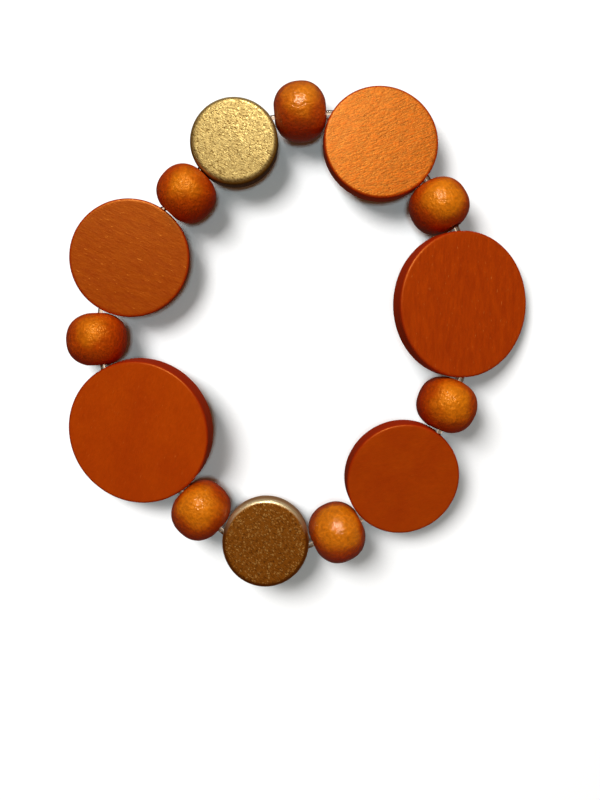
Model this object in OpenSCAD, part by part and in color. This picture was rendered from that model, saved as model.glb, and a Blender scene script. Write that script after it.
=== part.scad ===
// Stretch bracelet of flat and round wooden beads, lying in a ring as it rests on a table.
// Millimetres. +Z is up from the table, and the origin is on the table under the middle of the ring.

/* [Round beads] */
// Diameter of a round bead across its hole
bead_d = 10.3; // [8:0.1:10.6]
// Length of a round bead along its hole
bead_len = 9.3; // [7.5:0.1:9.4]
// Fullness of a round bead: 2 is an ellipse, more is a barrel
bead_fullness = 2.3; // [2:0.05:3]
// Diameter of the hole through a round bead
bead_hole_d = 2.8; // [2.6:0.1:3]
// How much wider the mouth of a round bead's hole is, all round
mouth_flare = 0.3; // [0.2:0.1:0.6]

/* [Discs] */
// Diameter of the hole through a disc, which runs along its diameter
disc_hole_d = 1.8; // [1.6:0.1:2]
// Radius of the rim's edges on a dyed orange disc
orange_edge_r = 0.45; // [0.2:0.05:0.8]
// Radius of the rim's edges on a gold disc, where the paint lies thicker
gold_edge_r = 0.85; // [0.3:0.05:1.2]

/* [Cord] */
// Diameter of the elastic cord
cord_d = 0.8; // [0.5:0.1:1]
// Diameter of the knot that is pulled into a round bead
knot_d = 1.5; // [1:0.1:1.6]
// Number of the round bead that hides the knot
knot_bead = 4; // [1:1:7]

/* [Hidden] */
orange = "#C8560F";
gold = "#C9A659";
clear = "#E6E2DA";

// Height of the string above the table: the round beads rest on the table
string_z = bead_d / 2;
// The steepest disc stands on its outer rim, so its middle is higher, and lifts the bead before it
propped_z = string_z + 0.57;
lifted_z = string_z + 0.25;

// The beads in the order they are strung, clockwise seen from above.
// lean tips a disc's face outwards about its hole, and rise tips its hole up towards the next
// bead. x and y are the middle of the bead.
NAME = 0;
DIAMETER = 1;
THICKNESS = 2;
LEAN = 3;
RISE = 4;
X = 5;
Y = 6;
Z = 7;
STRING = [
    // name, diameter, thickness, lean, rise, x, y, z
    ["disc_gold_1", 15.1, 3.9, 0, 0, -11.01, 32.67, string_z],
    ["bead_1", 0, 0, 0, 0, 0.26, 38.00, string_z],
    ["disc_orange_1", 19.7, 3.0, 5, 0, 14.05, 32.45, string_z],
    ["bead_2", 0, 0, 0, 0, 24.12, 21.73, lifted_z],
    ["disc_orange_2", 25.0, 3.0, 20.5, -3.5, 27.87, 4.82, propped_z],
    ["bead_3", 0, 0, 0, 0, 25.49, -12.40, string_z],
    ["disc_orange_3", 19.6, 3.2, 11.5, -4, 17.74, -24.78, string_z],
    ["bead_4", 0, 0, 0, 0, 6.62, -34.34, string_z],
    ["disc_gold_2", 14.8, 4.8, -4.5, 0, -5.62, -35.75, string_z],
    ["bead_5", 0, 0, 0, 0, -16.75, -30.55, string_z],
    ["disc_orange_4", 24.8, 3.9, 11.5, 2.5, -27.13, -16.86, string_z],
    ["bead_6", 0, 0, 0, 0, -34.67, -1.17, string_z],
    ["disc_orange_5", 20.2, 3.3, -6.5, 0, -28.90, 12.78, string_z],
    ["bead_7", 0, 0, 0, 0, -19.30, 23.92, string_z]
];
count = len(STRING);
// Steps in the curve of a bead's side, of a rim's edge and of the knot
bead_steps = 18;
edge_steps = 5;
knot_steps = 8;
// Depth of the flare at a round bead's mouth
mouth_depth = 0.7;
// The cord's sides, and how far inside a disc's and a round bead's hole it starts to bend
cord_sides = 10;
disc_bend = 0.2;
bead_bend = 0.6;
// The stretched cord runs a little to the inner side of a disc's hole. In a round bead's hole it
// moves sideways, but no further than bead_shift, or knot_shift where its knot is, and up or down
// by up to bead_lift
disc_shift = -0.1;
bead_shift = 0.75;
knot_shift = 0.3;
bead_lift = 0.35;
$fn = 96;

function wrap(i) = (i + count) % count;
function centre(i) = [STRING[i][X], STRING[i][Y], STRING[i][Z]];
function unit(v) = v / norm(v);
function is_disc(i) = STRING[i][DIAMETER] > 0;
function length_of(i) = is_disc(i) ? STRING[i][DIAMETER] : bead_len;

// Seen from above, a disc's hole runs along the line between its neighbours' middles
function chord(i) = centre(wrap(i + 1)) - centre(wrap(i - 1));
function level(v) = unit([v[0], v[1], 0]);
function disc_way(i) = unit(level(chord(i)) + [0, 0, tan(STRING[i][RISE])]);
// A round bead's hole runs from the last disc's hole to the next disc's
function disc_end(i, side) = centre(i) + disc_way(i) * side * length_of(i) / 2;
function bead_way(i) = unit(disc_end(wrap(i + 1), -1) - disc_end(wrap(i - 1), 1));
function way(i) = is_disc(i) ? disc_way(i) : bead_way(i);
function hole_end(i, side) = centre(i) + way(i) * side * length_of(i) / 2;

// Turns +X to a direction: first the rise about Y, then the heading about Z
module along(v) {
    rotate([0, -asin(v[2]), atan2(v[1], v[0])]) children();
}

// The side of a round bead as half of a squared ellipse, turned about its hole
function bead_point(t) = [
    bead_d / 2 * pow(sin(t), 2 / bead_fullness),
    bead_len / 2 * (t > 90 ? -1 : 1) * pow(abs(cos(t)), 2 / bead_fullness)
];
module bead_body() {
    rotate_extrude()
        polygon([for (k = [0:bead_steps]) bead_point(180 * k / bead_steps)]);
}

// The section of a disc: a rectangle with two round corners
function edge_arc(mid, r, from) = [
    for (k = [0:edge_steps]) mid + r * [cos(from + 90 * k / edge_steps), sin(from + 90 * k / edge_steps)]
];
module disc_body(d, thickness, edge_r) {
    rim = [d / 2 - edge_r, thickness / 2 - edge_r];
    rotate_extrude()
        polygon(concat(
            [[0, -thickness / 2]],
            edge_arc([rim[0], -rim[1]], edge_r, -90),
            edge_arc(rim, edge_r, 0),
            [[0, thickness / 2]]
        ));
}

// A hole along X
module hole(d, length) {
    rotate([0, 90, 0]) cylinder(d = d, h = length + 2, center = true);
}

// The flare at the mouth of a round bead's hole, at its +X end
module mouth() {
    translate([bead_len / 2 - mouth_depth, 0, 0]) rotate([0, 90, 0])
        cylinder(d1 = bead_hole_d, d2 = bead_hole_d + 2 * mouth_flare, h = mouth_depth);
}

module disc(i, colour, edge_r) {
    color(colour)
        translate(centre(i)) along(way(i)) rotate([-STRING[i][LEAN], 0, 0])
            difference() {
                disc_body(STRING[i][DIAMETER], STRING[i][THICKNESS], edge_r);
                hole(disc_hole_d, STRING[i][DIAMETER]);
            }
}

module bead(i) {
    color(orange)
        translate(centre(i)) along(way(i))
            difference() {
                rotate([0, 90, 0]) bead_body();
                hole(bead_hole_d, bead_len);
                for (side = [0, 180]) rotate([0, 0, side]) mouth();
            }
}

// The cord runs straight through each hole and bends in the last bit of it and in the gap.
// The knot is a swelling of the cord half-way through its bead.
function bend_of(i) = is_disc(i) ? disc_bend : bead_bend;
function within(v, limit) = max(-limit, min(limit, v));
function outwards(i) = unit(cross([0, 0, 1], way(i)));
function upwards(i) = cross(way(i), outwards(i));
// In a round bead the cord keeps as near as it can to the line between the next discs' mouths
function disc_mouth(i, side) = disc_end(i, side) + outwards(i) * disc_shift;
function between(i) = (disc_mouth(wrap(i - 1), 1) + disc_mouth(wrap(i + 1), -1)) / 2 - centre(i);
function bead_move(i, v, most) = v * within(between(i) * v, most);
function shift_of(i, most) = is_disc(i)
    ? outwards(i) * disc_shift
    : bead_move(i, outwards(i), most) + bead_move(i, upwards(i), bead_lift);
function on_hole(i, s, shift, r) = [each centre(i) + way(i) * s + shift, r];
function knot_rings(i) = i == 2 * knot_bead - 1
    ? [for (k = [0:knot_steps]) on_hole(
        i,
        -knot_d * 0.7 * cos(180 * k / knot_steps),
        shift_of(i, knot_shift),
        max(cord_d / 2, knot_d / 2 * sqrt(sin(180 * k / knot_steps)))
    )]
    : [];
ROUTE = [
    for (i = [0:count - 1]) each concat(
        [on_hole(i, bend_of(i) - length_of(i) / 2, shift_of(i, bead_shift), cord_d / 2)],
        knot_rings(i),
        [on_hole(i, length_of(i) / 2 - bend_of(i), shift_of(i, bead_shift), cord_d / 2)]
    )
];
rings = len(ROUTE);
function spot(k) = let (q = ROUTE[(k + rings) % rings]) [q[0], q[1], q[2]];
function ring(k) =
    let (
        t = unit(spot(k + 1) - spot(k - 1)),
        side = unit(cross(t, [0, 0, 1])),
        top = cross(side, t)
    )
    [for (j = [0:cord_sides - 1])
        spot(k) + ROUTE[k][3] * (side * cos(360 * j / cord_sides) + top * sin(360 * j / cord_sides))];
function corner(k, j) = (k % rings) * cord_sides + j % cord_sides;
module elastic_cord() {
    color(clear)
        polyhedron(
            points = [for (k = [0:rings - 1]) each ring(k)],
            faces = [
                for (k = [0:rings - 1], j = [0:cord_sides - 1]) each [
                    [corner(k, j), corner(k + 1, j + 1), corner(k + 1, j)],
                    [corner(k, j), corner(k, j + 1), corner(k + 1, j + 1)]
                ]
            ]
        );
}

module disc_gold_1() disc(0, gold, gold_edge_r);
module bead_1() bead(1);
module disc_orange_1() disc(2, orange, orange_edge_r);
module bead_2() bead(3);
module disc_orange_2() disc(4, orange, orange_edge_r);
module bead_3() bead(5);
module disc_orange_3() disc(6, orange, orange_edge_r);
module bead_4() bead(7);
module disc_gold_2() disc(8, gold, gold_edge_r);
module bead_5() bead(9);
module disc_orange_4() disc(10, orange, orange_edge_r);
module bead_6() bead(11);
module disc_orange_5() disc(12, orange, orange_edge_r);
module bead_7() bead(13);

disc_gold_1();
bead_1();
disc_orange_1();
bead_2();
disc_orange_2();
bead_3();
disc_orange_3();
bead_4();
disc_gold_2();
bead_5();
disc_orange_4();
bead_6();
disc_orange_5();
bead_7();
elastic_cord();
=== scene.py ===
"""Dresses a stretch bracelet of flat and round wooden beads that lies in a ring on a table."""

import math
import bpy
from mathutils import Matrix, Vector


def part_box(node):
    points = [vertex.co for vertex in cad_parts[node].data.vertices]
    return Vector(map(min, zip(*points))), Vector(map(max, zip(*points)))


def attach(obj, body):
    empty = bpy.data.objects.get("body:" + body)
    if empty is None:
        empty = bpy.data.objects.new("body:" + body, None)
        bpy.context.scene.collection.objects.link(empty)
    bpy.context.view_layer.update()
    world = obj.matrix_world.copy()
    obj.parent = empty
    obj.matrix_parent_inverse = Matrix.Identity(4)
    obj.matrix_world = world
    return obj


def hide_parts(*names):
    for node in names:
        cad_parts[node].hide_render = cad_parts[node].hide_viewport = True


bl_info = {
    "name": "Wooden bead bracelet",
    "version": (1, 0, 0),
    "blender": (4, 5, 0),
    "location": "3D View > Sidebar > Bracelet",
    "description": "Turns, drills, dyes and strings the beads of a wooden stretch bracelet",
    "category": "Object",
}

import bmesh
import bpy
from mathutils import Matrix, Vector

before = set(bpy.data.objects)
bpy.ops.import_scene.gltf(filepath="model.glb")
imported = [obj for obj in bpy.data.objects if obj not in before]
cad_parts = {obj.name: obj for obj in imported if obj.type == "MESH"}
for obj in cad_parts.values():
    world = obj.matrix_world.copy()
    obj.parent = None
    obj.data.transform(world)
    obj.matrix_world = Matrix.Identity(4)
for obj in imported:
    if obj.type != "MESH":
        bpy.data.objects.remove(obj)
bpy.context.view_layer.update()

MM = 0.001

# The beads in the order they are strung, clockwise seen from above, as the solids have them:
# node, then for a disc its diameter and thickness in mm, its lean about its hole and the rise of
# its hole towards the next bead in degrees.
STRING = (
    ("disc_gold_1", 15.1, 3.9, 0.0, 0.0),
    ("bead_1",),
    ("disc_orange_1", 19.7, 3.0, 5.0, 0.0),
    ("bead_2",),
    ("disc_orange_2", 25.0, 3.0, 20.5, -3.5),
    ("bead_3",),
    ("disc_orange_3", 19.6, 3.2, 11.5, -4.0),
    ("bead_4",),
    ("disc_gold_2", 14.8, 4.8, -4.5, 0.0),
    ("bead_5",),
    ("disc_orange_4", 24.8, 3.9, 11.5, 2.5),
    ("bead_6",),
    ("disc_orange_5", 20.2, 3.3, -6.5, 0.0),
    ("bead_7",),
)
COUNT = len(STRING)
KNOT_BEAD = "bead_4"
# The discs are remeshed as finely as the picture can show, a pixel to a voxel
VOXEL = 0.17 * MM
# A disc's mouth is eased by a cone of a depth, with its middle just inside the rim. Its small end
# is narrower than the hole by this inset, and its large end is wider by the ease
CONE_DEPTH = 0.9 * MM
CONE_INSET = 0.1 * MM
CONE_EASE = 0.35 * MM
# Points nearer than this are one point
SAME = 0.001 * MM
# Depth of the flare at a round bead's mouth, and the share of its width that the lip stands at. The
# lip is then rounded over, which opens the mouth a little more
MOUTH_DEPTH = 0.7 * MM
LIP_SHARE = 0.75
# How far inside a disc's and a round bead's hole the cord starts to bend
DISC_BEND = 0.2 * MM
BEAD_BEND = 0.6 * MM
# The cord runs a little inwards of the middle in a disc. In a round bead it moves sideways by up to
# BEAD_SHIFT, or KNOT_SHIFT where its knot is, and up or down by up to BEAD_LIFT
DISC_SHIFT = -0.1 * MM
BEAD_SHIFT = 0.75 * MM
KNOT_SHIFT = 0.3 * MM
BEAD_LIFT = 0.35 * MM
# How far the handles of the cord's curve reach at a bend and in the knot, and the half length of the
# knot as a share of its diameter
BEND_REACH = 0.25 * MM
KNOT_REACH = 0.08 * MM
KNOT_SHARE = 0.7
# The collection of all the pieces, which the beads' own lights fall on
BEADS = "lit as the beads"


def linear(hex_colour):
    """An sRGB hex colour as the linear red, green and blue that Blender works in."""
    parts = [int(hex_colour[i : i + 2], 16) / 255 for i in (1, 3, 5)]
    return tuple(c / 12.92 if c <= 0.04045 else ((c + 0.055) / 1.055) ** 2.4 for c in parts)


# Where each bead sits


def middle(i):
    """The middle of a bead: every one is alike on both sides of it, so it is the middle of its box."""
    low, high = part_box(STRING[i % COUNT][0])
    return (low + high) / 2


def disc_way(i):
    """Seen from above, a disc's hole runs along the line between its neighbours' middles."""
    line = middle(i + 1) - middle(i - 1)
    rise = math.radians(STRING[i % COUNT][4])
    return (Vector((line.x, line.y, 0)).normalized() + Vector((0, 0, math.tan(rise)))).normalized()


def disc_end(i, side):
    """The end of a disc's hole: side is 1 towards the next bead and -1 towards the last."""
    return middle(i) + disc_way(i) * side * STRING[i % COUNT][1] * MM / 2


def bead_way(i):
    """A round bead's hole runs from the last disc's hole to the next disc's."""
    return (disc_end(i + 1, -1) - disc_end(i - 1, 1)).normalized()


def is_disc(i):
    return len(STRING[i % COUNT]) > 1


def way(i):
    return disc_way(i) if is_disc(i) else bead_way(i)


def outwards(i):
    """Level and square to the hole, away from the middle of the ring."""
    return Vector((0, 0, 1)).cross(way(i)).normalized()


def place(i, lean=0.0):
    """Turns +X to the way of the hole and tips the face outwards about it, at the bead's middle."""
    v = way(i)
    rise = Matrix.Rotation(-math.asin(v.z), 4, "Y")
    heading = Matrix.Rotation(math.atan2(v.y, v.x), 4, "Z")
    tip = Matrix.Rotation(-math.radians(lean), 4, "X")
    return Matrix.Translation(middle(i)) @ heading @ rise @ tip


# Small steps that several pieces share


def only(obj):
    """Selects one object and makes it active."""
    bpy.ops.object.select_all(action="DESELECT")
    obj.select_set(True)
    bpy.context.view_layer.objects.active = obj


def add_modifier(obj, kind, **settings):
    """Adds a modifier with its settings and applies it."""
    only(obj)
    modifier = obj.modifiers.new(kind.title(), kind)
    for name, value in settings.items():
        setattr(modifier, name, value)
    bpy.ops.object.modifier_apply(modifier=modifier.name)


def pick_edges(obj, wanted):
    """In edit mode, selects the edges for which wanted says yes."""
    bpy.ops.mesh.select_mode(type="EDGE")
    bpy.ops.mesh.select_all(action="DESELECT")
    mesh = bmesh.from_edit_mesh(obj.data)
    for edge in mesh.edges:
        edge.select = wanted(edge)
    mesh.select_flush_mode()
    bmesh.update_edit_mesh(obj.data)


def settle(obj):
    """Puts the object's place into its mesh."""
    only(obj)
    bpy.ops.object.transform_apply(location=True, rotation=True, scale=True)


def wear(obj, name, size, depth):
    """Takes up to three quarters of depth off the surface, or leaves up to a quarter more on it, in
    soft patches of about size."""
    patches = bpy.data.textures.new(name, "CLOUDS")
    patches.noise_scale = size
    patches.noise_depth = 2
    add_modifier(obj, "DISPLACE", texture=patches, texture_coords="LOCAL", strength=depth, mid_level=0.75)


def hand_over(obj, node, material):
    """Gives a finished piece its material and its place in the bracelet."""
    obj.data.materials.clear()
    obj.data.materials.append(material)
    bpy.data.collections[BEADS].objects.link(obj)
    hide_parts(node)
    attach(obj, "root")


def add(tree, kind, links=None, **settings):
    """Adds a node. A link is a socket or a plain value for the input of that name or number."""
    node = tree.nodes.new(kind)
    for name, value in settings.items():
        setattr(node, name, value)
    for name, value in (links or {}).items():
        if isinstance(value, bpy.types.NodeSocket):
            tree.links.new(value, node.inputs[name])
        else:
            node.inputs[name].default_value = value
    return node


def new_material(name):
    """An empty node material: its tree, its Principled shader and itself."""
    material = bpy.data.materials.new(name)
    material.use_nodes = True
    tree = material.node_tree
    tree.nodes.clear()
    shader = add(tree, "ShaderNodeBsdfPrincipled")
    add(tree, "ShaderNodeOutputMaterial", {"Surface": shader.outputs[0]})
    return material, tree, shader


def blend(tree, value, low, high, first, second, most=1.0):
    """The first colour where a value is low and up to most of the second where it is high. Each is a
    socket or a linear colour."""
    span = {"Value": value, "From Min": low, "From Max": high, "To Max": most}
    amount = add(tree, "ShaderNodeMapRange", span).outputs[0]
    pair = [c if isinstance(c, bpy.types.NodeSocket) else (*c, 1.0) for c in (first, second)]
    node = add(tree, "ShaderNodeMix", {0: amount, 6: pair[0], 7: pair[1]}, data_type="RGBA")
    return node.outputs[2]


def shaded(tree, colour, value, low, high, contrast):
    """Darkens a colour by a share where a value is low, and brightens it where it is high."""
    span = {"Value": value, "From Min": low, "From Max": high}
    span |= {"To Min": 1 - contrast, "To Max": 1 + contrast}
    factor = add(tree, "ShaderNodeMapRange", span).outputs[0]
    return add(tree, "ShaderNodeVectorMath", {0: colour, "Scale": factor}, operation="SCALE").outputs[0]


def drive(tree, socket, value, low, high, start, end):
    """Runs a shader's socket from start to end while a value goes from low to high."""
    span = {"Value": value, "From Min": low, "From Max": high, "To Min": start, "To Max": end}
    tree.links.new(add(tree, "ShaderNodeMapRange", span).outputs[0], socket)


def relief(tree, socket, *layers):
    """Lays bumps on top of each other, the lowest first, each as its height and its depth in mm."""
    links = {"Strength": 1.0}
    for height, depth in layers:
        links |= {"Height": height, "Distance": depth * MM}
        links["Normal"] = add(tree, "ShaderNodeBump", links).outputs[0]
    tree.links.new(links["Normal"], socket)


def clouds(tree, where, size, detail=2.0, rough=0.5):
    """Soft noise all through a piece, in grains of a length, width and height in mm."""
    links = {"Vector": where, "Scale": [s * MM for s in size]}
    grains = add(tree, "ShaderNodeMapping", links, vector_type="TEXTURE").outputs[0]
    links = {"Vector": grains, "Scale": 1.0, "Detail": detail, "Roughness": rough}
    return add(tree, "ShaderNodeTexNoise", links).outputs["Fac"]


def on_face(tree, i, heading, length, width):
    """Coordinates on a disc's face, in grains of a length and width in mm. Heading is the way of the
    pattern in the picture, in degrees."""
    turn = math.radians(heading) - math.atan2(way(i).y, way(i).x)
    face = place(i, STRING[i][3]) @ Matrix.Rotation(turn, 4, "Z")
    links = {"Vector": add(tree, "ShaderNodeTexCoord").outputs["Object"]}
    links |= {"Location": middle(i), "Rotation": face.to_euler()}
    links["Scale"] = (length * MM, width * MM, width * MM)
    return add(tree, "ShaderNodeMapping", links, vector_type="TEXTURE").outputs[0]


def streaks(tree, i, heading, size, detail=2.0, rough=0.5):
    """Noise on a disc's face, in grains of a length and width in mm."""
    links = {"Vector": on_face(tree, i, heading, *size)}
    links |= {"Scale": 1.0, "Detail": detail, "Roughness": rough}
    return add(tree, "ShaderNodeTexNoise", links).outputs["Fac"]


def specks(tree, i, heading, size):
    """A value of its own, from 0 to 1, for each small cell of a disc's face."""
    links = {"Vector": on_face(tree, i, heading, *size), "Scale": 1.0}
    colour = add(tree, "ShaderNodeTexVoronoi", links).outputs["Color"]
    return add(tree, "ShaderNodeSeparateColor", {0: colour}).outputs[0]


def radius(tree, i):
    """How far a point is from the line through a disc's middle, square to its face, in mm."""
    axis = on_face(tree, i, 0, 1, 1)
    flat = add(tree, "ShaderNodeVectorMath", {0: axis, 1: (1, 1, 0)}, operation="MULTIPLY").outputs[0]
    return add(tree, "ShaderNodeVectorMath", {0: flat}, operation="LENGTH").outputs["Value"]


# Finishes


def pearl(shader, level, coat, gloss):
    """The lacquer has a little mica in it, whose high index gives a broad golden-orange sheen."""
    shader.inputs["IOR"].default_value = 2.1
    shader.inputs["Specular IOR Level"].default_value = level
    shader.inputs["Specular Tint"].default_value = (*linear("#FFAA45"), 1.0)
    shader.inputs["Coat Weight"].default_value = coat
    shader.inputs["Coat Roughness"].default_value = gloss


def dyed_disc_wood(i, name, heading, colours, streak, grain, contrast, depth, sheen):
    """Fine even hardwood, sawn flat, dyed orange in a bath, sanded and sprayed with satin lacquer.
    The dye soaks unevenly into the fibres and redder into the rim's end grain, and open fibres catch
    the light, whose glints are painted on as short pale flecks."""
    material, tree, shader = new_material(name)
    dark, light, painted_glint = (linear(c) for c in colours)
    rim = STRING[i][1] / 2
    fibres = streaks(tree, i, heading, grain, 2.0, 0.55)
    # The wood's pores are finer than this, and are drawn as coarse as they need to show
    pores = streaks(tree, i, heading, (0.4, 0.32), 2.0, 0.6)
    dots = specks(tree, i, heading, (0.42, 0.19))
    raised_fibres_and_glints = streaks(tree, i, heading, (1.0, 0.25))
    ground = blend(tree, streaks(tree, i, heading, streak, 3.0, 0.6), 0.3, 0.7, dark, light)
    ground = shaded(tree, ground, fibres, 0.3, 0.7, contrast)
    ground = shaded(tree, ground, dots, 0.0, 1.0, contrast)
    # Painted glints: short pale flecks where the raised fibres catch the light
    face = blend(tree, raised_fibres_and_glints, 0.68, 0.76, ground, painted_glint, 0.8)
    colour = blend(tree, radius(tree, i), rim - 0.5, rim - 0.15, face, linear("#A42000"))
    tree.links.new(colour, shader.inputs["Base Color"])
    drive(tree, shader.inputs["Roughness"], fibres, 0.3, 0.7, sheen - 0.05, sheen + 0.07)
    relief(tree, shader.inputs["Normal"], (fibres, depth), (pores, depth), (raised_fibres_and_glints, 0.02))
    pearl(shader, 0.8, 0.08, 0.3)
    return material


def gold_paint(i, name, heading, rim_band, film, pit, edge, edge_painted_shade, wall, flake):
    """Bronze-gold metallic paint, brushed thick over the wood: fine wrinkles that dried across each
    other, flakes that flash one by one, and dark pits where the paint drew back from the pores. The
    edge has a painted highlight on the side towards the top of the picture and painted shade on the
    other, and the wall has less metal in its paint."""
    material, tree, shader = new_material(name)
    rim = STRING[i][1] / 2
    # Wrinkles of 0.55 by 0.2 mm and flakes of 0.2 mm, coarser than the real ones so that they show
    wrinkles = streaks(tree, i, heading, (0.55, 0.2), 2.0, 0.6)
    flash = specks(tree, i, heading, (0.22, 0.18))
    ground = blend(tree, wrinkles, 0.3, 0.52, linear(pit), linear(film))
    ground = shaded(tree, ground, flash, 0.0, 1.0, 0.1)
    face = blend(tree, flash, 0.82, 0.96, ground, linear(flake))
    # The edge has a painted highlight on the side that looks to the top of the picture, and painted shade
    # on the other side
    where = add(tree, "ShaderNodeTexCoord").outputs["Object"]
    far = add(tree, "ShaderNodeSeparateXYZ", {0: where}).outputs["Y"]
    start, end = (middle(i).y + share * rim * MM for share in (0.2, 0.9))
    painted_edge_light = blend(tree, far, start, end, linear(edge_painted_shade), linear(edge))
    out = radius(tree, i)
    face = blend(tree, out, rim - rim_band[0], rim - rim_band[1], face, painted_edge_light)
    at_wall = (out, rim - 0.25, rim - 0.05)
    # The wall's colour is partly painted light: pale on disc_gold_2, whose wall faces the light, and dark
    # on disc_gold_1, whose wall is in shade
    tree.links.new(blend(tree, *at_wall, face, linear(wall)), shader.inputs["Base Color"])
    drive(tree, shader.inputs["Metallic"], *at_wall, 0.85, 0.4)
    drive(tree, shader.inputs["Roughness"], flash, 0.0, 1.0, 0.52, 0.34)
    relief(tree, shader.inputs["Normal"], (wrinkles, 0.014), (flash, 0.011))
    return material


def turned_bead_wood(name, coat):
    """The same wood turned round with its grain along the hole, tumbled in orange dye and lacquered,
    with fine crackle. Light and shade are painted into its colour: golden painted light on top and red
    painted shade underneath."""
    material, tree, shader = new_material(name)
    colours = bpy.context.scene.bracelet_colours
    where = add(tree, "ShaderNodeTexCoord").outputs["Object"]
    # Where each point was on the lathe, with the hole along X, and how far it faces up, for painted light
    # on top and painted shade underneath
    turned = add(tree, "ShaderNodeAttribute", attribute_name="turned").outputs["Vector"]
    upper = add(tree, "ShaderNodeAttribute", attribute_name="upper").outputs["Fac"]
    # Drifts of dye of about 4 mm, crackle of 0.6 mm and fibres of 1.2 by 0.45 mm along the hole. The
    # crackle and the fibres are coarser than the real ones, so that they show
    drift = {"Value": clouds(tree, where, (4, 4, 4)), "From Min": 0.3, "From Max": 0.7}
    drift |= {"To Min": -0.12, "To Max": 0.12}
    drifted = {0: upper, 1: add(tree, "ShaderNodeMapRange", drift).outputs[0]}
    # thin is painted light and shade: high where the point faces up, with random drifts of dye
    thin = add(tree, "ShaderNodeMath", drifted, operation="ADD").outputs[0]
    crackle = clouds(tree, where, (0.6, 0.6, 0.6), 3.0, 0.6)
    fibres = clouds(tree, turned, (1.2, 0.45, 0.45), 2.0, 0.6)
    # Painted shade in red underneath, the dye's own orange on the sides, and painted light in gold on top
    ground = blend(tree, thin, 0.3, 0.66, colours.bead_painted_shade_red, colours.bead_orange)
    ground = blend(tree, thin, 0.7, 1.0, ground, colours.bead_painted_light_gold)
    ground = shaded(tree, ground, crackle, 0.3, 0.7, 0.25)
    tree.links.new(ground, shader.inputs["Base Color"])
    drive(tree, shader.inputs["Roughness"], crackle, 0.3, 0.7, 0.3, 0.44)
    # The lacquer fills more than a third of what stands open in the wood
    relief(tree, shader.inputs["Normal"], (fibres, 0.11), (crackle, 0.17))
    relief(tree, shader.inputs["Coat Normal"], (fibres, 0.08), (crackle, 0.1))
    pearl(shader, 0.55, coat, 0.12)
    return material


def clear_elastic():
    """Clear polyurethane bead elastic, very slightly cloudy, with a trace of the beads' dye."""
    material, tree, shader = new_material("Clear polyurethane elastic")
    where = add(tree, "ShaderNodeTexCoord").outputs["Object"]
    haze = clouds(tree, where, (0.8, 0.8, 0.8))
    milk = blend(tree, haze, 0.0, 1.0, linear("#E8C8A8"), linear("#F4DCC4"))
    tree.links.new(milk, shader.inputs["Base Color"])
    drive(tree, shader.inputs["Roughness"], haze, 0.0, 1.0, 0.04, 0.16)
    relief(tree, shader.inputs["Normal"], (haze, 0.01))
    shader.inputs["Transmission Weight"].default_value = 1.0
    shader.inputs["IOR"].default_value = 1.49
    return material


def matt_card():
    """Uncoated white card, with the faint tooth of its fibres."""
    material, tree, shader = new_material("Uncoated white card")
    where = add(tree, "ShaderNodeTexCoord").outputs["Object"]
    tooth = clouds(tree, where, (0.4, 0.4, 0.4), 3.0)
    tone = blend(tree, tooth, 0.0, 1.0, linear("#F2F2F2"), linear("#F7F7F7"))
    tree.links.new(tone, shader.inputs["Base Color"])
    relief(tree, shader.inputs["Normal"], (tooth, 0.003))
    shader.inputs["Roughness"].default_value = 0.95
    shader.inputs["Specular IOR Level"].default_value = 0.1
    return material


# Sizes and colours that a user would change


class BraceletSizes(bpy.types.PropertyGroup):
    bead_diameter: bpy.props.FloatProperty(
        name="Round bead diameter",
        description="Across the hole",
        default=10.3 * MM,
        min=8 * MM,
        max=10.6 * MM,
        unit="LENGTH",
    )
    bead_length: bpy.props.FloatProperty(
        name="Round bead length",
        description="Along the hole",
        default=9.3 * MM,
        min=7.5 * MM,
        max=9.4 * MM,
        unit="LENGTH",
    )
    bead_fullness: bpy.props.FloatProperty(
        name="Round bead fullness",
        description="2 is an ellipse, more is a barrel",
        default=2.3,
        min=2,
        max=3,
    )
    bead_hole: bpy.props.FloatProperty(
        name="Round bead hole",
        description="Diameter of the hole",
        default=2.8 * MM,
        min=2.6 * MM,
        max=3 * MM,
        unit="LENGTH",
    )
    mouth_flare: bpy.props.FloatProperty(
        name="Mouth flare",
        description="How much wider a round bead's mouth is, all round",
        default=0.3 * MM,
        unit="LENGTH",
    )
    disc_hole: bpy.props.FloatProperty(
        name="Disc hole",
        description="Diameter of the hole",
        default=1.8 * MM,
        min=1.6 * MM,
        max=2 * MM,
        unit="LENGTH",
    )
    orange_edge: bpy.props.FloatProperty(
        name="Orange rim edge",
        description="Radius of the rim's edges",
        default=0.35 * MM,
        unit="LENGTH",
    )
    gold_edge: bpy.props.FloatProperty(
        name="Gold rim edge",
        description="Radius of the rim's edges under thick paint",
        default=0.85 * MM,
        unit="LENGTH",
    )
    cord_diameter: bpy.props.FloatProperty(
        name="Cord diameter",
        description="Of the elastic cord",
        default=0.8 * MM,
        unit="LENGTH",
    )
    knot_diameter: bpy.props.FloatProperty(
        name="Knot diameter",
        description="Of the knot inside a round bead",
        default=1.5 * MM,
        unit="LENGTH",
    )


class BraceletColours(bpy.types.PropertyGroup):
    # Painted light: this gold is painted where a bead faces up
    bead_painted_light_gold: bpy.props.FloatVectorProperty(
        name="Bead top",
        description="Where the dye is thin",
        subtype="COLOR",
        default=linear("#D6780C"),
    )
    bead_orange: bpy.props.FloatVectorProperty(
        name="Bead side",
        description="Of the dye itself",
        subtype="COLOR",
        default=linear("#B44402"),
    )
    # Painted shade: this deep red is painted on a bead's underside
    bead_painted_shade_red: bpy.props.FloatVectorProperty(
        name="Bead underside",
        description="Where the dye pooled",
        subtype="COLOR",
        default=linear("#AC2C00"),
    )


# Pieces


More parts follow.
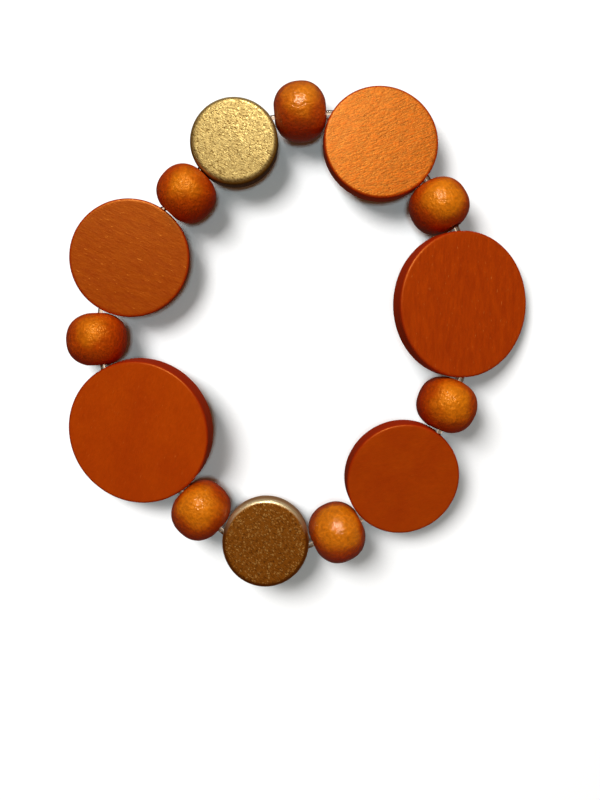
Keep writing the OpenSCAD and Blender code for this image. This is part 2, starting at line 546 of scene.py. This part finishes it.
def make_disc(i, edge_radius, steps):
    """A disc cut from a rod: its rim is rounded, and it is drilled along its diameter."""
    sizes = bpy.context.scene.bracelet_sizes
    node, diameter, thickness, lean, _ = STRING[i]
    diameter *= MM
    thickness *= MM
    spot = place(i, lean)
    bpy.ops.object.select_all(action="DESELECT")
    bpy.ops.mesh.primitive_cylinder_add(
        vertices=160,
        radius=diameter / 2,
        depth=thickness,
        location=spot.translation,
        rotation=spot.to_euler(),
    )
    disc = bpy.context.object
    disc.name = node.replace("disc", "wooden_disc")
    bpy.ops.object.mode_set(mode="EDIT")
    pick_edges(disc, lambda e: abs(e.verts[0].co.z - e.verts[1].co.z) < 0.01 * MM)
    bpy.ops.mesh.bevel(offset=edge_radius, segments=steps, affect="EDGES")
    bpy.ops.object.mode_set(mode="OBJECT")
    drill(disc, spot, diameter, sizes.disc_hole / 2)
    add_modifier(disc, "REMESH", mode="VOXEL", voxel_size=VOXEL, use_smooth_shade=True)
    add_modifier(disc, "SMOOTH", factor=0.5, iterations=3)
    settle(disc)
    return disc


def drill(disc, spot, diameter, hole):
    """Drills a hole of a radius along the disc's own X and eases both mouths with a cone."""
    across = spot @ Matrix.Rotation(math.radians(90), 4, "Y")
    bpy.ops.mesh.primitive_cylinder_add(
        vertices=40,
        radius=hole,
        depth=diameter * 1.2,
        location=spot.translation,
        rotation=across.to_euler(),
    )
    bits = [bpy.context.object]
    for side in (1, -1):
        mouth = spot @ Matrix.Translation((side * (diameter / 2 - CONE_INSET), 0, 0))
        mouth = mouth @ Matrix.Rotation(side * math.radians(90), 4, "Y")
        bpy.ops.mesh.primitive_cone_add(
            vertices=40,
            radius1=hole - CONE_INSET,
            radius2=hole + CONE_EASE,
            depth=CONE_DEPTH,
            location=mouth.translation,
            rotation=mouth.to_euler(),
        )
        bits.append(bpy.context.object)
    for bit in bits:
        add_modifier(disc, "BOOLEAN", object=bit, operation="DIFFERENCE", solver="EXACT")
        bpy.data.objects.remove(bit)


def lip(sizes):
    """The radius of a round bead's mouth, where its side ends."""
    return sizes.bead_hole / 2 + sizes.mouth_flare * LIP_SHARE


def bead_side(sizes):
    """The section of a round bead from one mouth to the other and back through the hole, as (x, r)."""
    half = sizes.bead_length / 2
    widest = sizes.bead_diameter / 2
    power = 2 / sizes.bead_fullness
    start = math.asin((lip(sizes) / widest) ** (1 / power))
    steps = 28
    points = []
    for k in range(steps + 1):
        t = start + (math.pi - 2 * start) * k / steps
        x = math.copysign(abs(math.cos(t)) ** power, math.cos(t))
        points.append((half * x, widest * math.sin(t) ** power))
    wall = half - MOUTH_DEPTH
    points += [(x * wall, sizes.bead_hole / 2) for x in (-1, -0.6, -0.2, 0.2, 0.6, 1)]
    return points


def make_round_bead(sizes):
    """One bead, drawn as its section and spun round the hole, at the origin with the hole along X."""
    points = [Vector((x, 0, r)) for x, r in bead_side(sizes)]
    bpy.ops.object.select_all(action="DESELECT")
    bpy.ops.mesh.primitive_plane_add(size=1 * MM)
    bead = bpy.context.object
    bpy.ops.object.mode_set(mode="EDIT")
    bpy.ops.mesh.select_mode(type="VERT")
    bpy.ops.mesh.select_all(action="SELECT")
    bpy.ops.mesh.merge(type="CENTER")
    bpy.ops.transform.translate(value=points[0])
    for last, point in zip(points, points[1:]):
        bpy.ops.mesh.extrude_region_move(TRANSFORM_OT_translate={"value": point - last})
    mesh = bmesh.from_edit_mesh(bead.data)
    for vertex in mesh.verts:
        vertex.select = min((vertex.co - points[0]).length, (vertex.co - points[-1]).length) < SAME
    mesh.select_flush_mode()
    bmesh.update_edit_mesh(bead.data)
    bpy.ops.mesh.edge_face_add()
    bpy.ops.mesh.select_all(action="SELECT")
    bpy.ops.mesh.spin(steps=72, angle=math.tau, center=(0, 0, 0), axis=(1, 0, 0))
    bpy.ops.mesh.select_all(action="SELECT")
    bpy.ops.mesh.remove_doubles(threshold=0.002 * MM)
    bpy.ops.mesh.normals_make_consistent(inside=False)

    def on_lip(edge):
        x, y, z = edge.verts[0].co
        level = abs(x - edge.verts[1].co.x) < SAME
        outer = abs(x) > sizes.bead_length * 0.45
        return level and outer and abs(math.hypot(y, z) - lip(sizes)) < 0.01 * MM

    pick_edges(bead, on_lip)
    bpy.ops.mesh.bevel(offset=0.15 * MM, segments=3, affect="EDGES")
    bpy.ops.object.mode_set(mode="OBJECT")
    bpy.ops.object.shade_smooth()
    return bead


class BRACELET_OT_stage(bpy.types.Operator):
    """Lays a white card, lights it softly and looks straight down on it"""

    bl_idname = "bracelet.stage"
    bl_label = "Card, light and camera"

    def execute(self, context):
        scene = context.scene
        scene.view_settings.view_transform = "Standard"
        bpy.ops.object.select_all(action="DESELECT")
        # 130 mm above the card. The picture is 800 px high, with a focal length of 725 px, and the
        # camera's axis meets it 3 px left of its middle and 65 px above
        bpy.ops.object.camera_add(location=(-0.26 * MM, -0.43 * MM, 130 * MM), rotation=(0, 0, 0))
        camera = context.object
        camera.name = "camera"
        sensor, height = 36, 800
        camera.data.sensor_width = sensor
        camera.data.lens = sensor * 725 / height
        camera.data.shift_x = 3 / height
        camera.data.shift_y = -65 / height
        camera.data.clip_start = 5 * MM
        scene.camera = camera
        bpy.ops.mesh.primitive_circle_add(vertices=96, radius=1000 * MM, fill_type="NGON")
        card = context.object
        card.name = "card"
        card.data.materials.append(matt_card())
        card.visible_diffuse = card.visible_glossy = False
        # A soft box lights the card alone, so that its shadows fall to the lower right, with a weak
        # cool lamp overhead to fill them. The beads have daylight from the top of the picture, a
        # warm reflector opposite it, and a smaller window that is there only to shine in them
        only_card = bpy.data.collections.new("lit by the soft box")
        only_card.objects.link(card)
        only_beads = bpy.data.collections.new(BEADS)
        white, warm, cool = (1.0, 1.0, 1.0), (1.0, 0.96, 0.86), (0.7, 0.93, 1.0)
        self.light("soft_box", 1200 * MM, 580 * MM, -45, 52, 19, white, only_card)
        self.light("overhead", 400 * MM, 60 * MM, 0, 90, 0.38, cool, only_card)
        self.light("daylight", 450 * MM, 320 * MM, 2, 50, 2.15, warm, only_beads)
        self.light("reflector", 450 * MM, 300 * MM, 180, 35, 0.28, (1.0, 0.8, 0.6), only_beads)
        window = self.light("window", 600 * MM, 90 * MM, 0, 58, 1.6, warm, only_beads)
        window.visible_glossy = True
        window.visible_diffuse = False
        self.room(scene)
        return {"FINISHED"}

    def light(self, name, distance, size, heading, height, power, colour, receivers):
        """A square area light that looks at the middle of the ring. Heading is clockwise from +Y."""
        turn, rise = math.radians(heading), math.radians(height)
        toward = Vector((math.sin(turn) * math.cos(rise), math.cos(turn) * math.cos(rise), math.sin(rise)))
        bpy.ops.object.light_add(
            type="AREA", location=toward * distance, rotation=toward.to_track_quat("Z", "Y").to_euler()
        )
        lamp = bpy.context.object
        lamp.name = name
        lamp.data.size = size
        lamp.data.energy = power
        lamp.data.color = colour
        lamp.visible_glossy = lamp.visible_camera = False
        lamp.light_linking.receiver_collection = receivers
        return lamp

    def room(self, scene):
        """A pale room, whose light is that of a dim warm ceiling, brighter towards the top of the
        picture."""
        world = bpy.data.worlds.new("pale room")
        world.use_nodes = True
        scene.world = world
        tree = world.node_tree
        tree.nodes.clear()
        where = add(tree, "ShaderNodeTexCoord").outputs["Generated"]
        toward = add(tree, "ShaderNodeSeparateXYZ", {0: where}).outputs
        glow = blend(tree, toward["Z"], 0.0, 1.0, (0.27, 0.16, 0.09), (0.13, 0.06, 0.025))
        glow = blend(tree, toward["Z"], -0.03, 0.0, (0.08, 0.06, 0.05), glow)
        span = {"Value": toward["Y"], "From Min": -1.0, "To Min": 0.55}
        side = add(tree, "ShaderNodeMapRange", span).outputs[0]
        light = add(tree, "ShaderNodeBackground", {"Color": glow, "Strength": side}).outputs[0]
        pale = (0.8, 0.8, 0.8, 1.0)
        wall = add(tree, "ShaderNodeBackground", {"Color": pale, "Strength": 1.0}).outputs[0]
        seen = add(tree, "ShaderNodeLightPath").outputs["Is Camera Ray"]
        both = add(tree, "ShaderNodeMixShader", {0: seen, 1: light, 2: wall}).outputs[0]
        add(tree, "ShaderNodeOutputWorld", {"Surface": both})


class BRACELET_OT_orange_discs(bpy.types.Operator):
    """Cuts, drills and dyes the five orange discs"""

    bl_idname = "bracelet.orange_discs"
    bl_label = "Orange discs"

    # index in the string: heading of the grain, darker dye, lighter dye and the flecks' painted glints,
    # streaks of dye and fibres as length and width in mm, contrast of fibres and dots, depth of fibres
    # and pores in mm, roughness
    FACES = {
        2: (22, ("#A44200", "#B25000", "#D47C10"), (3.5, 0.9), (1.3, 0.26), 0.38, 0.038, 0.42),
        4: (88, ("#A83000", "#BA3E00", "#E08840"), (3.5, 0.9), (1.6, 0.3), 0.06, 0.01, 0.46),
        6: (12, ("#AC3400", "#B64000", "#C05010"), (4.0, 3.0), (0.7, 0.35), 0.04, 0.007, 0.46),
        10: (64, ("#B83A00", "#C64800", "#D46424"), (9.0, 7.0), (0.7, 0.35), 0.04, 0.007, 0.44),
        12: (-24, ("#9A3000", "#A84200", "#F08C30"), (3.0, 0.9), (0.9, 0.3), 0.036, 0.01, 0.44),
    }

    def execute(self, context):
        sizes = context.scene.bracelet_sizes
        for i, (heading, *look) in self.FACES.items():
            disc = make_disc(i, sizes.orange_edge, 6)
            wear(disc, "hand sanding", 5 * MM, 0.05 * MM)
            node = STRING[i][0]
            name = f"Dyed sanded wood, satin lacquer, {node[5:]}"
            finish = dyed_disc_wood(i, name, heading, *look)
            hand_over(disc, node, finish)
        return {"FINISHED"}


class BRACELET_OT_gold_discs(bpy.types.Operator):
    """Cuts and drills the two gold discs and paints them thickly"""

    bl_idname = "bracelet.gold_discs"
    bl_label = "Gold discs"

    # index in the string: heading of the wrinkles, where the edge starts and is full as mm inside
    # the rim, paint film, pits, the edge's painted highlight and its painted shade, wall, flakes. Both
    # discs carry the same paint: their films and walls differ partly as painted light and shade, paler
    # where a disc catches the light and darker where it is in shade
    FACES = {
        0: (-29, (0.5, 0.2), "#C0A86A", "#6C501A", "#F8E8B0", "#A88434", "#5C3C08", "#D0BC7C"),
        8: (-40, (0.8, 0.5), "#BE7620", "#6C3A06", "#FFF6D0", "#90520E", "#C09468", "#FFD078"),
    }

    def execute(self, context):
        sizes = context.scene.bracelet_sizes
        for i, look in self.FACES.items():
            disc = make_disc(i, sizes.gold_edge, 8)
            wear(disc, "hand sanding", 4 * MM, 0.05 * MM)
            wear(disc, "wrinkled paint", 0.25 * MM, 0.015 * MM)
            node = STRING[i][0]
            finish = gold_paint(i, f"Bronze-gold brushed paint, {node[5:]}", *look)
            hand_over(disc, node, finish)
        return {"FINISHED"}


class BRACELET_OT_round_beads(bpy.types.Operator):
    """Turns one round bead and copies it to its seven places"""

    bl_idname = "bracelet.round_beads"
    bl_label = "Round beads"

    # How much painted light each bead has on top (less, where it is below 0), how far its painted light
    # leans towards the top of the picture, and how thick its lacquer is
    FINISHES = {
        "bead_1": (0.05, 0.35, 0.9),
        "bead_2": (0.1, 0.2, 0.3),
        "bead_3": (0.1, 0.2, 0.12),
        "bead_4": (0.42, 0.5, 1.0),
        "bead_5": (0.18, 0.35, 0.4),
        "bead_6": (-0.14, 0.3, 0.04),
        "bead_7": (-0.14, 0.2, 0.05),
    }

    def execute(self, context):
        model = make_round_bead(context.scene.bracelet_sizes)
        turned = model.data.attributes.new("turned", "FLOAT_VECTOR", "POINT")
        for spot, vertex in zip(turned.data, model.data.vertices):
            spot.vector = vertex.co
        for i in range(COUNT):
            if is_disc(i):
                continue
            only(model)
            bpy.ops.object.duplicate(linked=False)
            bead = context.object
            node = STRING[i][0]
            bead.name = node.replace("bead", "round_bead")
            bead.matrix_world = place(i)
            settle(bead)
            add_modifier(bead, "SUBSURF", levels=1, render_levels=1)
            wear(bead, "lathe and tumbling", 3.5 * MM, 0.1 * MM)
            painted_top_light, tip, coat = self.FINISHES[node]
            self.mark_painted_light_side(bead, middle(i), painted_top_light, tip)
            finish = turned_bead_wood(f"Turned dyed wood, satin lacquer, {node}", coat)
            hand_over(bead, node, finish)
        bpy.data.objects.remove(model)
        return {"FINISHED"}

    def mark_painted_light_side(self, bead, centre, painted_top_light, tip):
        """Stores how far each point faces up, leaning towards the top of the picture, for painted light on
        top and painted shade underneath.
        """
        upper = bead.data.attributes.new("upper", "FLOAT", "POINT")
        # The painted light leans by tip towards the top of the picture, where the light comes from
        up = Vector((0, tip, 1)).normalized()
        for spot, vertex in zip(upper.data, bead.data.vertices):
            level = (vertex.co - centre).normalized().dot(up)
            spot.value = level + painted_top_light * max(0.0, level) ** 2


class BRACELET_OT_elastic_cord(bpy.types.Operator):
    """Threads one loop of clear elastic through all the beads, with its knot inside a round bead"""

    bl_idname = "bracelet.elastic_cord"
    bl_label = "Elastic cord"

    def execute(self, context):
        sizes = context.scene.bracelet_sizes
        curve = bpy.data.curves.new("elastic_loop", "CURVE")
        curve.dimensions = "3D"
        curve.bevel_depth = sizes.cord_diameter / 2
        curve.bevel_resolution = 6
        curve.resolution_u = 8
        line = curve.splines.new("BEZIER")
        stops = [stop for i in range(COUNT) for stop in self.through(i, sizes)]
        line.bezier_points.add(len(stops) - 1)
        line.use_cyclic_u = True
        for point, (spot, direction, reach, thick) in zip(line.bezier_points, stops):
            point.handle_left_type = point.handle_right_type = "FREE"
            point.co = spot
            point.handle_left = spot - direction * reach
            point.handle_right = spot + direction * reach
            point.radius = thick / sizes.cord_diameter
        loop = bpy.data.objects.new("elastic_loop", curve)
        context.scene.collection.objects.link(loop)
        only(loop)
        bpy.ops.object.convert(target="MESH")
        loop = context.object
        bpy.ops.object.shade_smooth()
        hand_over(loop, "elastic_cord", clear_elastic())
        return {"FINISHED"}

    def beside(self, i, most=BEAD_SHIFT):
        """How far the cord runs from the middle of a hole: a little inwards in a disc, and in a round
        bead as near the line between the next discs' mouths as its hole lets it."""
        if is_disc(i):
            return outwards(i) * DISC_SHIFT
        mouths = disc_end(i - 1, 1) + self.beside(i - 1) + disc_end(i + 1, -1) + self.beside(i + 1)
        off = mouths / 2 - middle(i)
        up = way(i).cross(outwards(i))
        shift = outwards(i) * max(-most, min(most, off.dot(outwards(i))))
        return shift + up * max(-BEAD_LIFT, min(BEAD_LIFT, off.dot(up)))

    def through(self, i, sizes):
        """The cord's points in one hole. It bends only in the gaps and the mouths."""
        along = way(i)
        shift = self.beside(i)
        length = STRING[i][1] * MM if is_disc(i) else sizes.bead_length
        reach = length / 2 - (DISC_BEND if is_disc(i) else BEAD_BEND)
        thin = sizes.cord_diameter
        stops = [(middle(i) + shift - along * reach, along, BEND_REACH, thin)]
        if STRING[i][0] == KNOT_BEAD:
            inner = self.beside(i, KNOT_SHIFT)
            steps = 8
            for k in range(steps + 1):
                a = math.pi * k / steps
                s = -sizes.knot_diameter * KNOT_SHARE * math.cos(a)
                thick = max(thin, sizes.knot_diameter * math.sqrt(math.sin(a)))
                stops.append((middle(i) + inner + along * s, along, KNOT_REACH, thick))
        stops.append((middle(i) + shift + along * reach, along, BEND_REACH, thin))
        return stops


class BRACELET_PT_panel(bpy.types.Panel):
    """The steps of making the bracelet, with its sizes and colours"""

    bl_idname = "BRACELET_PT_panel"
    bl_label = "Wooden bead bracelet"
    bl_space_type = "VIEW_3D"
    bl_region_type = "UI"
    bl_category = "Bracelet"

    def draw(self, context):
        for group in (context.scene.bracelet_sizes, context.scene.bracelet_colours):
            box = self.layout.box()
            for name in group.__annotations__:
                box.prop(group, name)
        for step in STEPS:
            self.layout.operator(step.bl_idname)


STEPS = (
    BRACELET_OT_stage,
    BRACELET_OT_orange_discs,
    BRACELET_OT_gold_discs,
    BRACELET_OT_round_beads,
    BRACELET_OT_elastic_cord,
)
CLASSES = (BraceletSizes, BraceletColours, *STEPS, BRACELET_PT_panel)


def register():
    for cls in CLASSES:
        bpy.utils.register_class(cls)
    bpy.types.Scene.bracelet_sizes = bpy.props.PointerProperty(type=BraceletSizes)
    bpy.types.Scene.bracelet_colours = bpy.props.PointerProperty(type=BraceletColours)


def unregister():
    del bpy.types.Scene.bracelet_colours
    del bpy.types.Scene.bracelet_sizes
    for cls in reversed(CLASSES):
        bpy.utils.unregister_class(cls)


def main():
    register()
    bpy.ops.bracelet.stage()
    bpy.ops.bracelet.orange_discs()
    bpy.ops.bracelet.gold_discs()
    bpy.ops.bracelet.round_beads()
    bpy.ops.bracelet.elastic_cord()


if __name__ == "__main__":
    main()
